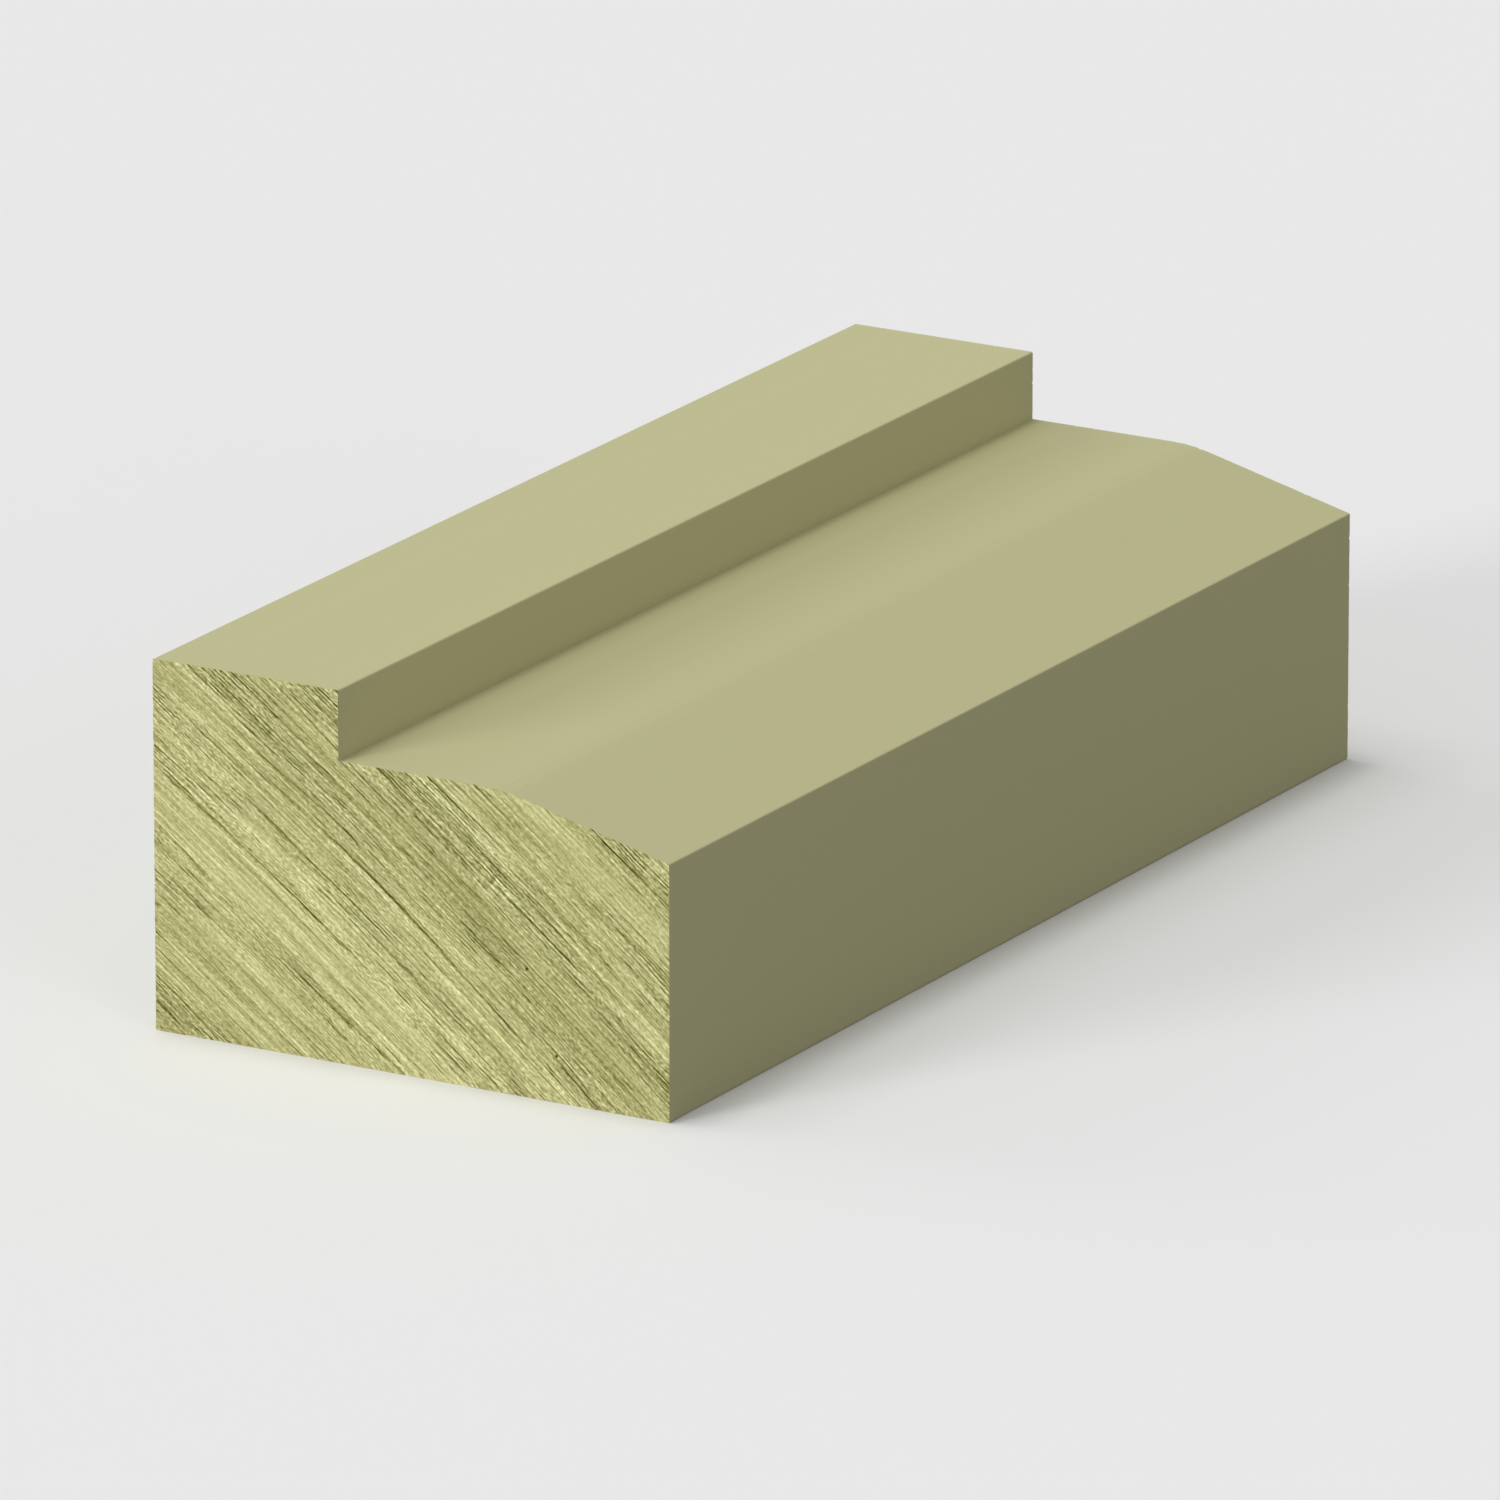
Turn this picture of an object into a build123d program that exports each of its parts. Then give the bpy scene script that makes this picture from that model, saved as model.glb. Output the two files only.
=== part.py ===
from build123d import *
import os

# A short length of softwood frame moulding, planed from one piece and cut square at both
# ends. The section lies in XZ and the grain runs along Y. The upstand along the back is the
# stop. A rebate steps down from it to a level seat, and past the bend the top falls away as
# a weathering bevel to the nose. Millimetres, +Z up. The origin is on the bedding face,
# midway across the section and midway along the length.

# Driving dimensions
piece_length = 163.0
section_width = 69.0
section_height = 45.0
stop_width = 25.0  # top of the stop, from the back face to the rebate
rebate_depth = 8.5  # from the top of the stop down to the seat
seat_width = 22.0  # level part of the rebate, from the stop to the bend
bevel_fall = 5.5  # drop from the bend to the nose, over the rest of the width
arris_radius = 0.2  # long outside corners, eased by a rub of fine paper
bend_radius = 20.0  # where the seat rolls over into the bevel
root_radius = 0.0  # foot of the stop, cut to a sharp corner


def moulded_section():
    """The section in its own plane, each corner as across, up and the radius that eases it."""
    back = -section_width / 2
    nose = section_width / 2
    stop_face = back + stop_width
    bend = stop_face + seat_width
    seat = section_height - rebate_depth
    corners = [
        (back, 0, arris_radius),
        (nose, 0, arris_radius),
        (nose, seat - bevel_fall, arris_radius),
        (bend, seat, bend_radius),
        (stop_face, seat, root_radius),
        (stop_face, section_height, arris_radius),
        (back, section_height, arris_radius),
    ]
    places = [(across, up) for across, up, radius in corners]
    radii = [radius for across, up, radius in corners]
    return make_face(FilletPolyline(*places, radius=radii, close=True))


def moulding():
    """The section run out along the grain, half the length to each side of the middle."""
    return extrude(Plane.XZ * moulded_section(), amount=piece_length / 2, both=True)


os.makedirs("parts", exist_ok=True)
export_step(moulding(), "parts/moulding.step")
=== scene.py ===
import bpy
import math
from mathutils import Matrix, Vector


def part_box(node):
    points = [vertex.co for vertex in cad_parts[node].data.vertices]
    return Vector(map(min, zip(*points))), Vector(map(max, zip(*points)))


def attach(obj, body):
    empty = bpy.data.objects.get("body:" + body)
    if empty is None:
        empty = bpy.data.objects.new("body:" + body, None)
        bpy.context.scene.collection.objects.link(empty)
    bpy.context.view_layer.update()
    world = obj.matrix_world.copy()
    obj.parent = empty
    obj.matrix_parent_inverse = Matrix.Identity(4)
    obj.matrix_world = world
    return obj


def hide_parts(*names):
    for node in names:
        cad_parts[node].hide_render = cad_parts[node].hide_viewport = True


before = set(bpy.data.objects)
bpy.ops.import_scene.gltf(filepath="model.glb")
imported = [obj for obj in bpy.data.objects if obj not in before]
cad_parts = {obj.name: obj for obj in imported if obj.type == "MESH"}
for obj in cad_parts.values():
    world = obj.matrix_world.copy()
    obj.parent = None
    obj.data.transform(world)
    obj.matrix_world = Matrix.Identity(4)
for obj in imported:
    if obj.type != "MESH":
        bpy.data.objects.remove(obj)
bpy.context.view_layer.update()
mm = 0.001

# The pattern of the wood, strong on the cut ends and faint on the long faces, in millimetres.
# Three sizes in brackets run along the streaks, down the length of the piece and across the
# streaks
grain = {
    "fall": 38.4,  # degrees that the streaks fall from the back to the nose
    "bow": 850,  # radius of their slow curve
    "wanderBy": 0.6,  # how far the first two noises push the streaks aside
    "shiverBy": 0.28,
    "startSteps": (1, 1.7, 2.3),  # a noise starts at its number times these
    "noises": {  # size, start, detail and roughness
        "wander": ((40, 120, 14), 11, 1.0, 0.6),
        "shiver": ((1.8, 20, 0.7), 29, 2.5, 0.6),
        "rings": ((260, 600, 9), 76.75, 1.0, 0.5),
        "lines": ((75, 300, 0.56), 71, 1.0, 0.6),
        "fibres": ((12, 60, 0.18), 103, 1.0, 0.6),
        "flecks": ((0.5, 12, 0.14), 131, 1.5, 0.7),
        "crowds": ((60, 300, 4.5), 134, 0.5, 0.6),  # bands where flecks and cracks are thicker
        "ripple": ((0.42, 8, 1.5), 210, 0.0, 0.5),  # short marks that cross the streaks
    },
    "crowdSpan": (0.3, 0.7),  # from a thin band to a thick one
    "fleckSpan": (0.65, 1.35),  # how strong the flecks are in each
    # lines that break up, each kept where its own noise is above keptFrom
    "splits": {"gap": 1.7, "width": 0.15, "run": 20, "start": 160, "keptFrom": 0.45},
    "cracks": {"gap": 0.42, "width": 0.1, "run": 4.5, "start": 190, "keptFrom": 0.48},
    "rippled": ((-8, -81.5, 26.4), (6, 30, 2.2)),  # middle and reach of the one rippled place
    "rippleEdge": 0.3,  # share of that reach from which the ripple fades
    "pinholes": ((15.6, -81.5, 15.5), (19.5, -81.5, 5.6)),  # where, in the near end alone
    "pinholeRadius": 0.3,
    "pinholeDepth": 20,  # in radii
}

# How splits and cracks break up. Both do it alike, each at its own gap
lineBreaks = {
    "drift": (24, 90, 2.6),  # size of the noise that makes the gaps uneven, in gaps
    "driftBy": 1.7,  # how far it moves a line, in gaps
    "depth": 4,  # a line reaches this many times further down the piece than it runs
    "steps": (7.31, 3.77),  # from one line's own noise to the next one's
    "start": 5,  # and from the drift's noise to theirs
    "detail": 2.0,
    "crowdPull": 0.45,  # how much more of a line is kept in a thick band
    "fade": 0.2,  # how softly a line breaks off
}


def onlyThis(piece):
    bpy.ops.object.select_all(action="DESELECT")
    piece.select_set(True)
    bpy.context.view_layer.objects.active = piece


def feed(tree, socket, value):
    # a socket is linked and anything else is set as a plain value
    if isinstance(value, bpy.types.NodeSocket):
        tree.links.new(value, socket)
    else:
        socket.default_value = value


def sums(tree, operation, *values):
    node = tree.nodes.new("ShaderNodeMath")
    node.operation = operation
    for socket, value in zip(node.inputs, values):
        feed(tree, socket, value)
    return node.outputs[0]


def vectors(tree, operation, first, second):
    node = tree.nodes.new("ShaderNodeVectorMath")
    node.operation = operation
    feed(tree, node.inputs[0], first)
    feed(tree, node.inputs[1], second)
    return node.outputs["Value" if operation == "DISTANCE" else "Vector"]


def takenApart(tree, vector):
    node = tree.nodes.new("ShaderNodeSeparateXYZ")
    feed(tree, node.inputs[0], vector)
    return node.outputs


def putTogether(tree, *parts):
    node = tree.nodes.new("ShaderNodeCombineXYZ")
    for socket, part in zip(node.inputs, parts):
        feed(tree, socket, part)
    return node.outputs[0]


def spread(tree, value, low, high, toLow, toHigh, smooth=False):
    node = tree.nodes.new("ShaderNodeMapRange")
    node.interpolation_type = "SMOOTHSTEP" if smooth else "LINEAR"
    for socket, given in zip(node.inputs, (value, low, high, toLow, toHigh)):
        feed(tree, socket, given)
    return node.outputs[0]


def stretchedNoise(tree, place, size, start, detail=0.0, roughness=0.5):
    # start moves the pattern, so that no two noises are alike
    moved = vectors(tree, "ADD", place, [start * step for step in grain["startSteps"]])
    squeezed = vectors(tree, "DIVIDE", moved, size)
    noise = tree.nodes.new("ShaderNodeTexNoise")
    noise.noise_dimensions = "3D"
    feed(tree, noise.inputs["Vector"], squeezed)
    feed(tree, noise.inputs["Scale"], 1.0)
    feed(tree, noise.inputs["Detail"], detail)
    feed(tree, noise.inputs["Roughness"], roughness)
    return noise.outputs[0]


def grainNoise(tree, place, name):
    return stretchedNoise(tree, place, *grain["noises"][name])


def offMiddle(tree, noise):
    # a noise stays near a half, and this takes the half away
    return sums(tree, "SUBTRACT", noise, 0.5)


def turnedPlace(tree, place):
    # millimetres, turned so that X runs along the streaks, Y down the length and Z across
    scaled = vectors(tree, "MULTIPLY", place, (1 / mm, 1 / mm, 1 / mm))
    turn = tree.nodes.new("ShaderNodeVectorRotate")
    turn.rotation_type = "Y_AXIS"
    feed(tree, turn.inputs["Vector"], scaled)
    feed(tree, turn.inputs["Angle"], math.radians(-grain["fall"]))
    turned = turn.outputs[0]
    along, down, across = takenApart(tree, turned)
    curve = 0.5 / grain["bow"]  # a parabola curved like a circle of that radius
    across = sums(tree, "MULTIPLY_ADD", sums(tree, "MULTIPLY", along, along), curve, across)
    for name in ("wander", "shiver"):
        push = offMiddle(tree, grainNoise(tree, turned, name))
        across = sums(tree, "MULTIPLY_ADD", push, grain[name + "By"], across)
    return putTogether(tree, along, down, across)


def brokenLines(tree, place, line, crowd):
    # lines at uneven gaps, each with its own number, which breaks it off in its own places
    gap = line["gap"]
    along, down, across = takenApart(tree, place)
    drift = stretchedNoise(tree, place, [gap * size for size in lineBreaks["drift"]], line["start"])
    count = sums(tree, "MULTIPLY_ADD", drift, lineBreaks["driftBy"], sums(tree, "DIVIDE", across, gap))
    number = sums(tree, "FLOOR", count)
    offLine = sums(tree, "ABSOLUTE", offMiddle(tree, sums(tree, "SUBTRACT", count, number)))
    stepAlong, stepAcross = lineBreaks["steps"]
    own = putTogether(
        tree,
        sums(tree, "MULTIPLY_ADD", number, stepAlong, sums(tree, "DIVIDE", along, line["run"])),
        sums(tree, "DIVIDE", down, line["run"] * lineBreaks["depth"]),
        sums(tree, "MULTIPLY", number, stepAcross))
    ownStart = line["start"] + lineBreaks["start"]
    strength = stretchedNoise(tree, own, (1, 1, 1), ownStart, lineBreaks["detail"])
    strength = sums(tree, "MULTIPLY_ADD", offMiddle(tree, crowd), lineBreaks["crowdPull"], strength)
    keptFrom = line["keptFrom"]
    kept = spread(tree, strength, keptFrom, keptFrom + lineBreaks["fade"], 0.0, 1.0, smooth=True)
    onLine = spread(tree, offLine, 0.0, line["width"] / gap, 1.0, 0.0, smooth=True)
    return sums(tree, "MULTIPLY", onLine, kept)


def fleckMask(tree, place, crowd):
    flecks = offMiddle(tree, grainNoise(tree, place, "flecks"))
    strength = spread(tree, crowd, *grain["crowdSpan"], *grain["fleckSpan"])
    return sums(tree, "MULTIPLY_ADD", flecks, strength, 0.5)


def rippleMask(tree, place):
    middle, reach = grain["rippled"]
    away = vectors(tree, "DIVIDE", vectors(tree, "SUBTRACT", place, middle), reach)
    distance = vectors(tree, "DISTANCE", away, (0, 0, 0))
    inside = spread(tree, distance, grain["rippleEdge"], 1.0, 1.0, 0.0, smooth=True)
    ripple = offMiddle(tree, grainNoise(tree, place, "ripple"))
    return sums(tree, "MULTIPLY_ADD", ripple, inside, 0.5)


def pinholeMask(tree, place):
    # squeezed down the length, so that a round spot there is a deep hole
    squeeze = 1 / grain["pinholeDepth"]
    shallow = vectors(tree, "MULTIPLY", place, (1, squeeze, 1))
    pits = 0.0
    for across, down, up in grain["pinholes"]:
        centre = (across * mm, down * mm * squeeze, up * mm)
        distance = vectors(tree, "DISTANCE", shallow, centre)
        pit = spread(tree, distance, 0.0, grain["pinholeRadius"] * mm, 1.0, 0.0, smooth=True)
        pits = sums(tree, "MAXIMUM", pit, pits)
    return pits


def woodGrainTree(treeName, treeType):
    # the same pattern as shader nodes, for colour and bump, and as geometry nodes, for relief
    tree = bpy.data.node_groups.new(treeName, treeType)
    tree.interface.new_socket("Place", in_out="INPUT", socket_type="NodeSocketVector")
    entry = tree.nodes.new("NodeGroupInput")
    place = turnedPlace(tree, entry.outputs["Place"])
    crowd = grainNoise(tree, place, "crowds")
    masks = {
        "Rings": grainNoise(tree, place, "rings"),
        "Lines": grainNoise(tree, place, "lines"),
        "Fibres": grainNoise(tree, place, "fibres"),
        "Flecks": fleckMask(tree, place, crowd),
        "Ripples": rippleMask(tree, place),
        "Splits": brokenLines(tree, place, grain["splits"], crowd),
        "Cracks": brokenLines(tree, place, grain["cracks"], crowd),
        "Pinholes": pinholeMask(tree, entry.outputs["Place"]),
    }
    for name in masks:
        tree.interface.new_socket(name, in_out="OUTPUT", socket_type="NodeSocketFloat")
    result = tree.nodes.new("NodeGroupOutput")
    for name, mask in masks.items():
        feed(tree, result.inputs[name], mask)
    return tree


def mixed(tree, grainNode, shares, start=0.0):
    # the named masks added up, each by its share
    total = start
    for name, share in shares.items():
        total = sums(tree, "MULTIPLY_ADD", grainNode.outputs[name], share, total)
    return total


def balanced(tree, grainNode, shares):
    # masks that stay near a half add up to something that does too
    return mixed(tree, grainNode, shares, 0.5 - sum(shares.values()) / 2)


# The moulding's mesh and its two cut ends, as the saw leaves them. All in millimetres
sawnEnds = {
    "cellAlong": 0.55,  # size of the mesh's cells along the streaks
    "cellAcross": 0.109,  # and across them
    "same": 0.001,  # points nearer than this are one
    "weld": 0.03,  # inner points nearer than this to another join it, and the outline stays
    "smoothBelow": 40,  # degrees between faces, up to which they are shaded as one
    "endBeyond": 10,  # a face whose middle is further than this from halfway is an end's
    "heights": {"Lines": 0.1, "Splits": -0.2, "Pinholes": -0.4},
    "sawPlane": 0.1,  # height that the saw cuts off
    "chipSize": 0.5,  # size of the noise that chips the rim
    "chipDetail": 1.0,
    "chipSpan": (0.5, 0.75),  # from whole rim to rim broken all the way back
    "chipDepth": 0.7,  # how far the rim breaks back where fibres tore away
}


def reliefTree():
    # sinks the points of both ends by the pattern, and those of the rim further where it chipped
    tree = bpy.data.node_groups.new("sawnRelief", "GeometryNodeTree")
    tree.interface.new_socket("Geometry", in_out="INPUT", socket_type="NodeSocketGeometry")
    tree.interface.new_socket("Geometry", in_out="OUTPUT", socket_type="NodeSocketGeometry")
    entry = tree.nodes.new("NodeGroupInput")
    result = tree.nodes.new("NodeGroupOutput")
    position = tree.nodes.new("GeometryNodeInputPosition").outputs[0]
    grainNode = tree.nodes.new("GeometryNodeGroup")
    grainNode.node_tree = woodGrainTree("woodGrain", "GeometryNodeTree")
    feed(tree, grainNode.inputs["Place"], position)
    sawPlane = sawnEnds["sawPlane"]
    height = sums(tree, "MINIMUM", mixed(tree, grainNode, sawnEnds["heights"]), sawPlane)
    onRim = tree.nodes.new("GeometryNodeInputNamedAttribute")
    onRim.inputs["Name"].default_value = "rim"
    chipSize = [sawnEnds["chipSize"] * mm] * 3
    chipNoise = stretchedNoise(tree, position, chipSize, 0.0, sawnEnds["chipDetail"])
    chips = spread(tree, chipNoise, *sawnEnds["chipSpan"], 0.0, sawnEnds["chipDepth"])
    chips = sums(tree, "MULTIPLY", chips, onRim.outputs["Attribute"])
    sunk = sums(tree, "SUBTRACT", sums(tree, "ADD", chips, sawPlane), height)
    sunk = sums(tree, "MULTIPLY", sunk, mm)
    down = takenApart(tree, position)[1]
    inward = sums(tree, "SIGN", sums(tree, "MULTIPLY", down, -1.0))
    offset = putTogether(tree, 0.0, sums(tree, "MULTIPLY", sunk, inward), 0.0)
    moved = tree.nodes.new("GeometryNodeSetPosition")
    feed(tree, moved.inputs["Geometry"], entry.outputs[0])
    feed(tree, moved.inputs["Offset"], offset)
    feed(tree, result.inputs[0], moved.outputs[0])
    return tree


def streakedSheet(size):
    # an upright sheet of fine cells that follow the streaks, large enough for the section
    slope = math.radians(grain["fall"])
    sheetLength = size.x * math.cos(slope) + size.z * math.sin(slope)
    sheetHeight = size.x * math.sin(slope) + size.z * math.cos(slope)
    bpy.ops.object.select_all(action="DESELECT")
    bpy.ops.mesh.primitive_grid_add(
        x_subdivisions=round(sheetLength / mm / sawnEnds["cellAlong"]),
        y_subdivisions=round(sheetHeight / mm / sawnEnds["cellAcross"]),
        size=1, calc_uvs=False, location=(0, 0, size.z / 2),
        rotation=(math.radians(90), slope, 0))
    sheet = bpy.context.object
    sheet.scale = (sheetLength, sheetHeight, 1)
    bpy.ops.object.transform_apply(location=True, rotation=True, scale=True)
    return sheet


def trimToSection(piece):
    # by a merged copy of the solid, which itself stays as it is
    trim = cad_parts["moulding"].copy()
    trim.data = trim.data.copy()
    trim.parent = None
    bpy.context.scene.collection.objects.link(trim)
    onlyThis(trim)
    bpy.ops.object.mode_set(mode="EDIT")
    bpy.ops.mesh.select_all(action="SELECT")
    bpy.ops.mesh.remove_doubles(threshold=sawnEnds["same"] * mm)
    bpy.ops.object.mode_set(mode="OBJECT")
    onlyThis(piece)
    cut = piece.modifiers.new("section", "BOOLEAN")
    cut.operation = "INTERSECT"
    cut.solver = "EXACT"
    cut.object = trim
    bpy.ops.object.modifier_apply(modifier=cut.name)
    bpy.data.objects.remove(trim)


def isEnd(face):
    # a long face has its middle halfway along the piece
    return abs(face.center.y) > sawnEnds["endBeyond"] * mm


def markRim(piece):
    # the outline of both ends, as a vertex group
    bpy.ops.object.mode_set(mode="OBJECT")
    for face in piece.data.polygons:
        face.select = isEnd(face)
    bpy.ops.object.mode_set(mode="EDIT")
    bpy.ops.mesh.region_to_loop()
    bpy.ops.object.vertex_group_add()
    piece.vertex_groups.active.name = "rim"
    bpy.ops.object.vertex_group_assign()


def buildMoulding():
    low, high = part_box("moulding")
    size = high - low
    piece = streakedSheet(size)
    piece.name = "mouldingDressed"
    trimToSection(piece)
    bpy.ops.object.mode_set(mode="EDIT")
    bpy.ops.mesh.select_all(action="SELECT")
    bpy.ops.mesh.remove_doubles(threshold=sawnEnds["same"] * mm)
    # inner points that crowd the outline join it
    bpy.ops.mesh.select_all(action="DESELECT")
    bpy.ops.mesh.select_non_manifold()
    bpy.ops.mesh.select_all(action="INVERT")
    bpy.ops.mesh.remove_doubles(threshold=sawnEnds["weld"] * mm, use_unselected=True)
    # the sheet becomes the near end and is drawn out to the far one
    bpy.ops.mesh.select_all(action="SELECT")
    bpy.ops.transform.translate(value=(0, low.y, 0))
    bpy.ops.mesh.extrude_region_move(TRANSFORM_OT_translate={"value": (0, size.y, 0)})
    bpy.ops.mesh.select_all(action="SELECT")
    bpy.ops.mesh.normals_make_consistent(inside=False)
    markRim(piece)
    bpy.ops.object.mode_set(mode="OBJECT")
    bpy.ops.object.shade_smooth_by_angle(angle=math.radians(sawnEnds["smoothBelow"]))
    print("section trimmed and drawn out:", len(piece.data.polygons), "faces")
    layOutForBake(piece, low, size)
    relief = piece.modifiers.new("relief", "NODES")
    relief.node_group = reliefTree()
    bpy.ops.object.modifier_apply(modifier=relief.name)
    piece.vertex_groups.clear()
    return piece


# Where each side lies on the map that the piece is baked through, 1 being its whole width
bakeMap = {
    "endScale": 10.5,  # per metre, for the two ends
    "stripScale": 0.99,  # per metre round the section, for the long faces
    "gap": 0.008,
}


def layOutForBake(piece, low, size):
    # the ends stand one over the other and the long faces are four strips beside them
    gap, scale = bakeMap["gap"], bakeMap["endScale"]
    strips = {}
    across = gap * 2 + size.x * scale
    for side, width in (("up", size.x), ("down", size.x), ("nose", size.z), ("back", size.z)):
        strips[side] = across
        across += width * bakeMap["stripScale"] + gap
    layer = piece.data.uv_layers.new(name="OFBake")
    for face in piece.data.polygons:
        if isEnd(face):
            side = "end"
            foot = gap if face.center.y < 0 else gap * 2 + size.z * scale
        elif abs(face.normal.z) > abs(face.normal.x):
            side = "up" if face.normal.z > 0 else "down"
        else:
            side = "nose" if face.normal.x > 0 else "back"
        for corner in face.loop_indices:
            place = piece.data.vertices[piece.data.loops[corner].vertex_index].co
            if side == "end":
                spot = (gap + (place.x - low.x) * scale, foot + (place.z - low.z) * scale)
            else:
                along = place.x - low.x if side in ("up", "down") else place.z - low.z
                level = (place.y - low.y) / size.y
                spot = (strips[side] + along * bakeMap["stripScale"], gap + level * (1 - 2 * gap))
            layer.data[corner].uv = spot
    print("laid out for the bake, last strip ends at", round(across - gap, 3))


# The long faces are planed smooth and the cut ends are open grain
woodFinish = {
    "faceColour": (0.508, 0.491, 0.275),
    "faceDark": (0.497, 0.48, 0.267),
    "faceShares": {"Lines": 0.8, "Fibres": 1.2},
    "faceRoughness": (0.66, 0.74),
    "faceSpecular": 0.1,
    "faceGrainHeight": 0.006,  # mm
    "endColour": (187, 184, 128),  # as on a screen, from 0 to 255
    "endSwing": 150,  # the streaks add or take away up to this in all three alike
    "endSteps": (-150, -100, -75, -50, -25, 0, 25, 50, 75),  # the colours run straight between these
    "endShares": {"Rings": 72, "Lines": 44, "Fibres": 136, "Flecks": 195, "Ripples": 125},
    # painted shade: splits, cracks and pinholes are real hollows in the relief and bump, and their
    # darker colour is painted shade of those hollows
    "endHollowShade": {"Splits": -70, "Cracks": -90, "Pinholes": -190},
    "endHeights": {"Fibres": 0.06, "Flecks": 0.05, "Cracks": -0.08},  # too fine for the mesh, in mm
    "endLevel": 0.9,  # share of light that an upright end gets
    "endRoughness": 0.8,
    "endSpecular": 0.05,
}


def fromScreen(level):
    # light for a screen's level from 0 to 255, by the usual sRGB curve
    return ((level / 255 + 0.055) / 1.055) ** 2.4


def endTint(shift):
    # the end's colour, shifted by this many levels and never quite black
    levels = [max(part + shift, 1) for part in woodFinish["endColour"]]
    return [fromScreen(level) / woodFinish["endLevel"] for level in levels]


def newMaterial(name, grainTree):
    material = bpy.data.materials.new(name)
    material.use_nodes = True
    tree = material.node_tree
    shader = tree.nodes["Principled BSDF"]
    coordinates = tree.nodes.new("ShaderNodeTexCoord")
    grainNode = tree.nodes.new("ShaderNodeGroup")
    grainNode.node_tree = grainTree
    feed(tree, grainNode.inputs["Place"], coordinates.outputs["Object"])
    return material, tree, shader, grainNode


def colourRamp(tree, value, stops):
    ramp = tree.nodes.new("ShaderNodeValToRGB")
    feed(tree, ramp.inputs[0], value)
    elements = ramp.color_ramp.elements
    while len(elements) < len(stops):
        elements.new(0.5)
    for element, (position, colour) in zip(elements, stops):
        element.position = position
        element.color = (*colour, 1)
    return ramp.outputs[0]


def bumpFrom(tree, height, distance):
    bump = tree.nodes.new("ShaderNodeBump")
    bump.inputs["Strength"].default_value = 1.0
    bump.inputs["Distance"].default_value = distance * mm
    feed(tree, bump.inputs["Height"], height)
    return bump.outputs[0]


def planedFaceMaterial(grainTree):
    material, tree, shader, grainNode = newMaterial("planedFace", grainTree)
    tone = balanced(tree, grainNode, woodFinish["faceShares"])
    stops = [(0.0, woodFinish["faceDark"]), (1.0, woodFinish["faceColour"])]
    feed(tree, shader.inputs["Base Color"], colourRamp(tree, tone, stops))
    feed(tree, shader.inputs["Roughness"], spread(tree, tone, 0.0, 1.0, *woodFinish["faceRoughness"]))
    feed(tree, shader.inputs["Normal"], bumpFrom(tree, tone, woodFinish["faceGrainHeight"]))
    shader.inputs["Specular IOR Level"].default_value = woodFinish["faceSpecular"]
    return material


def sawnEndMaterial(grainTree):
    material, tree, shader, grainNode = newMaterial("sawnEnd", grainTree)
    whole = 2 * woodFinish["endSwing"]
    shares = {name: share / whole for name, share in woodFinish["endShares"].items()}
    # painted shade: the splits, cracks and pinholes darken the colour on top of the grain, standing in
    # for shade in their hollows
    hollowShades = {name: share / whole for name, share in woodFinish["endHollowShade"].items()}
    tone = mixed(tree, grainNode, hollowShades, balanced(tree, grainNode, shares))
    stops = [(0.5 + shift / whole, endTint(shift)) for shift in woodFinish["endSteps"]]
    feed(tree, shader.inputs["Base Color"], colourRamp(tree, tone, stops))
    height = mixed(tree, grainNode, woodFinish["endHeights"])
    feed(tree, shader.inputs["Normal"], bumpFrom(tree, height, 1.0))
    shader.inputs["Roughness"].default_value = woodFinish["endRoughness"]
    shader.inputs["Specular IOR Level"].default_value = woodFinish["endSpecular"]
    return material


def dressMoulding(piece):
    grainTree = woodGrainTree("woodGrainShader", "ShaderNodeTree")
    piece.data.materials.clear()
    piece.data.materials.append(planedFaceMaterial(grainTree))
    piece.data.materials.append(sawnEndMaterial(grainTree))
    for face in piece.data.polygons:
        face.material_index = int(isEnd(face))
    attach(piece, "root")
    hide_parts("moulding")


# Light is in shares of what falls on a level face, 1 in all, so a colour renders as written.
# Directions are azimuth and height in degrees, as for a view
light = {
    "sky": 0.366,
    "lamps": {  # share, direction, angle that the lamp spans
        "overhead": (0.297, (-90, 85), 16),
        "highLeft": (0.14, (-60, 70), 30),
        "lowLeft": (0.04, (-90, 20), 30),
        "lowFront": (0.117, (-25, 12), 20),
        "lowRight": (0.04, (60, 20), 30),
    },
    "floorSeen": 0.807,  # level of the floor and backdrop as the eye sees them
    "floorBounce": 0.25,  # share of the light that the floor throws back
    "floorWidth": 20,  # metres
    "floorDrop": 0.01 * mm,  # below the piece, so that the two never flicker
}


def towards(azimuth, elevation):
    turn, lift = math.radians(azimuth), math.radians(elevation)
    return Vector((math.sin(turn) * math.cos(lift), -math.cos(turn) * math.cos(lift), math.sin(lift)))


def softSun(name, share, comesFrom, angle):
    direction = towards(*comesFrom)
    bpy.ops.object.light_add(type="SUN", location=direction)
    lamp = bpy.context.object
    lamp.name = name
    lamp.rotation_euler = direction.to_track_quat("Z", "Y").to_euler()
    lamp.data.energy = share * math.pi / direction.z  # so that a level face gets the share
    lamp.data.angle = math.radians(angle)


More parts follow.
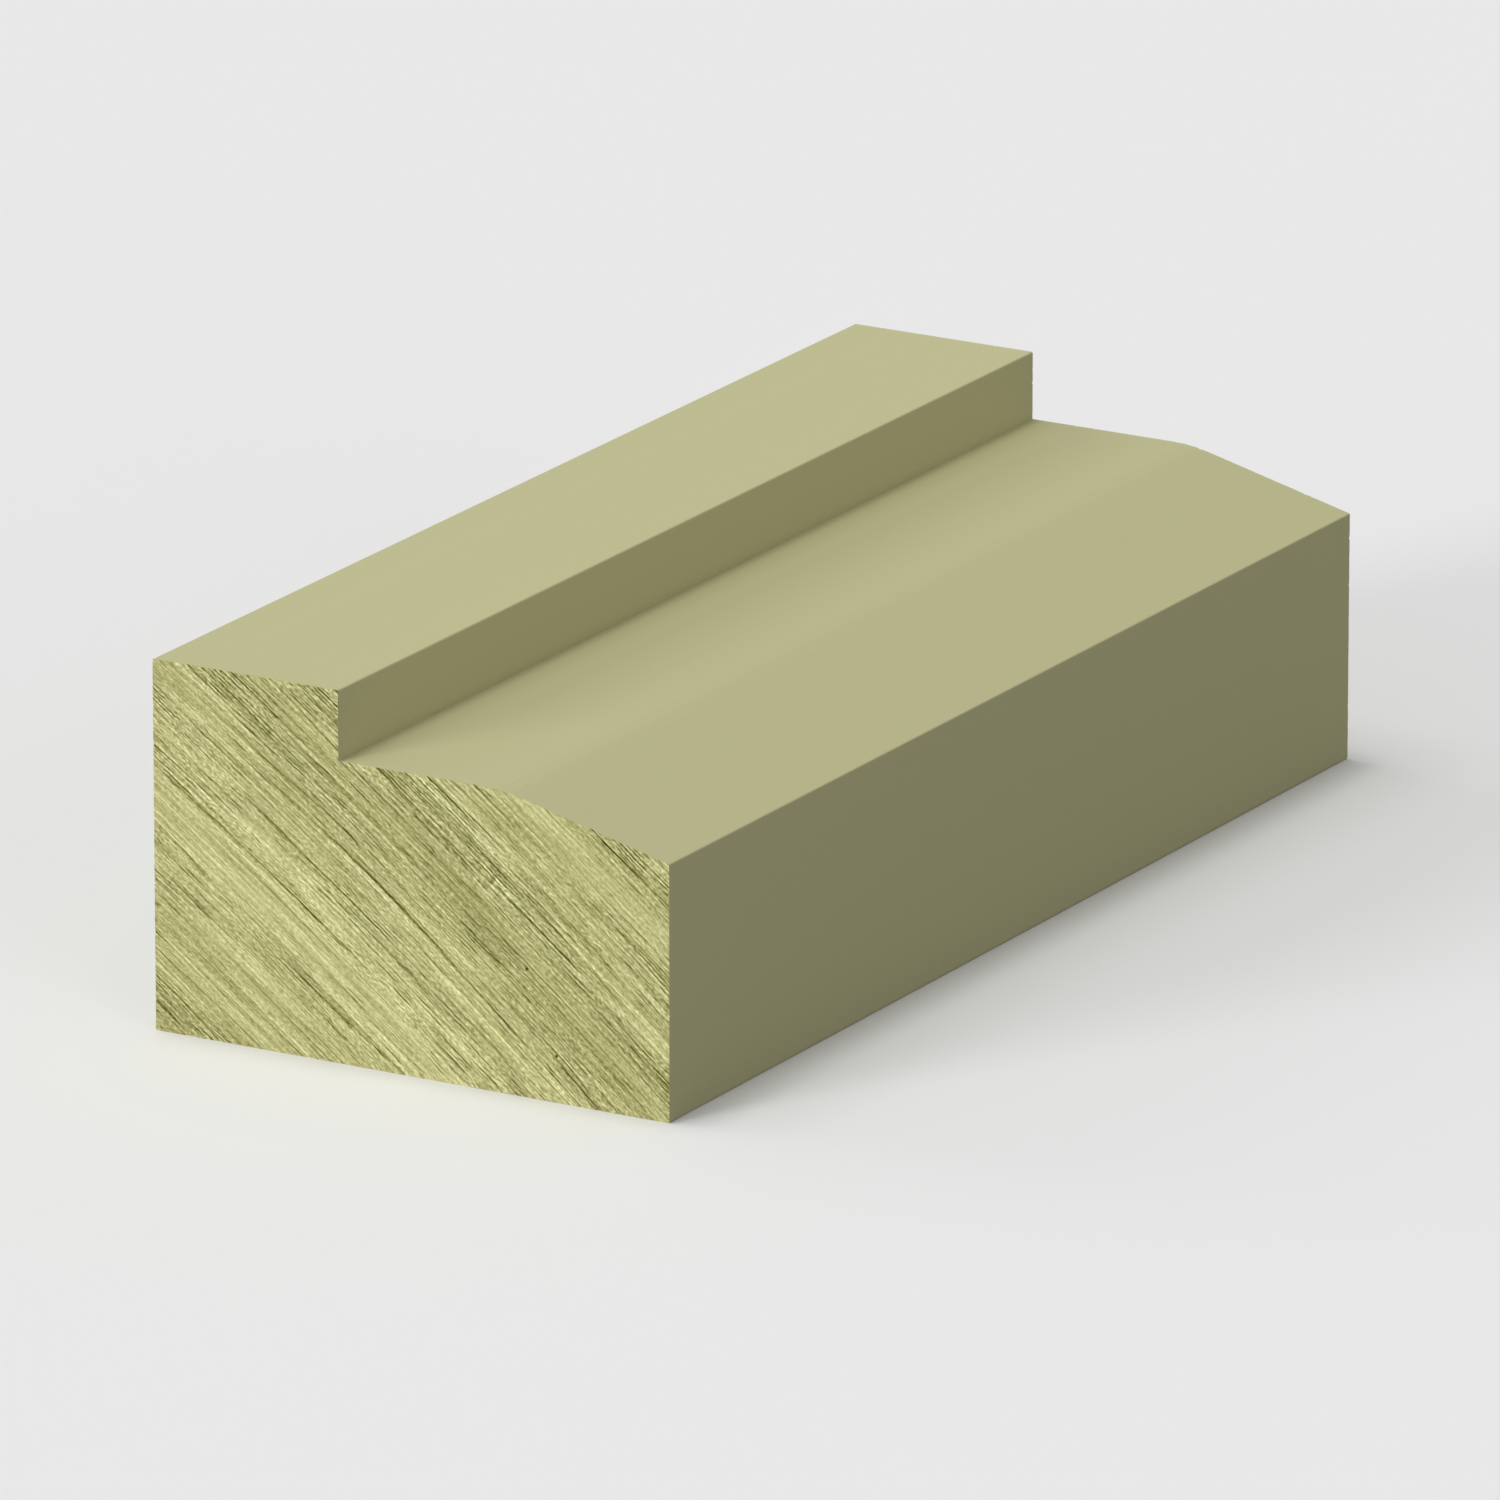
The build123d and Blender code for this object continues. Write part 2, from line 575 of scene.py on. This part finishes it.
def seenOrLighting(tree, seen, lighting):
    # one level where the eye sees it, straight or in gloss and glass, and another as light
    path = tree.nodes.new("ShaderNodeLightPath")
    looked = sums(tree, "MAXIMUM", path.outputs["Is Camera Ray"], path.outputs["Is Glossy Ray"])
    looked = sums(tree, "MAXIMUM", looked, path.outputs["Is Transmission Ray"])
    return spread(tree, looked, 0.0, 1.0, lighting, seen)


def lightTheStudio():
    scene = bpy.context.scene
    scene.view_settings.view_transform = "Standard"
    scene.world = bpy.data.worlds.new("studio")
    scene.world.use_nodes = True
    tree = scene.world.node_tree
    back = tree.nodes["Background"]
    feed(tree, back.inputs["Strength"], seenOrLighting(tree, light["floorSeen"], light["sky"]))
    back.inputs["Color"].default_value = (1, 1, 1, 1)
    for name, (share, comesFrom, angle) in light["lamps"].items():
        softSun(name, share, comesFrom, angle)


def layTheFloor():
    bpy.ops.mesh.primitive_plane_add(size=light["floorWidth"], location=(0, 0, -light["floorDrop"]))
    floor = bpy.context.object
    floor.name = "floor"
    material = bpy.data.materials.new("paleFloor")
    material.use_nodes = True
    tree = material.node_tree
    shader = tree.nodes["Principled BSDF"]
    shade = seenOrLighting(tree, light["floorSeen"], light["floorBounce"])
    grey = tree.nodes.new("ShaderNodeCombineColor")
    for socket in grey.inputs:
        feed(tree, socket, shade)
    feed(tree, shader.inputs["Base Color"], grey.outputs[0])
    shader.inputs["Roughness"].default_value = 1.0
    shader.inputs["Specular IOR Level"].default_value = 0.0
    floor.data.materials.append(material)


# The camera stands far off with a long lens
camera = {
    "azimuth": 30.1,
    "elevation": 17.18,
    "distance": 2.2138,
    "aim": (0.0203, -0.0386, 0.031),
    "lens": 458,
    "sensor": 36,
    "sight": 100,  # metres
}


def placeCamera():
    direction = towards(camera["azimuth"], camera["elevation"])
    place = Vector(camera["aim"]) + direction * camera["distance"]
    bpy.ops.object.camera_add(location=place, rotation=direction.to_track_quat("Z", "Y").to_euler())
    view = bpy.context.object
    view.data.lens = camera["lens"]
    view.data.sensor_width = camera["sensor"]
    view.data.clip_end = camera["sight"]
    bpy.context.scene.camera = view


dressed = buildMoulding()
dressMoulding(dressed)
print("moulding dressed")
lightTheStudio()
layTheFloor()
placeCamera()
print("stage and camera set")
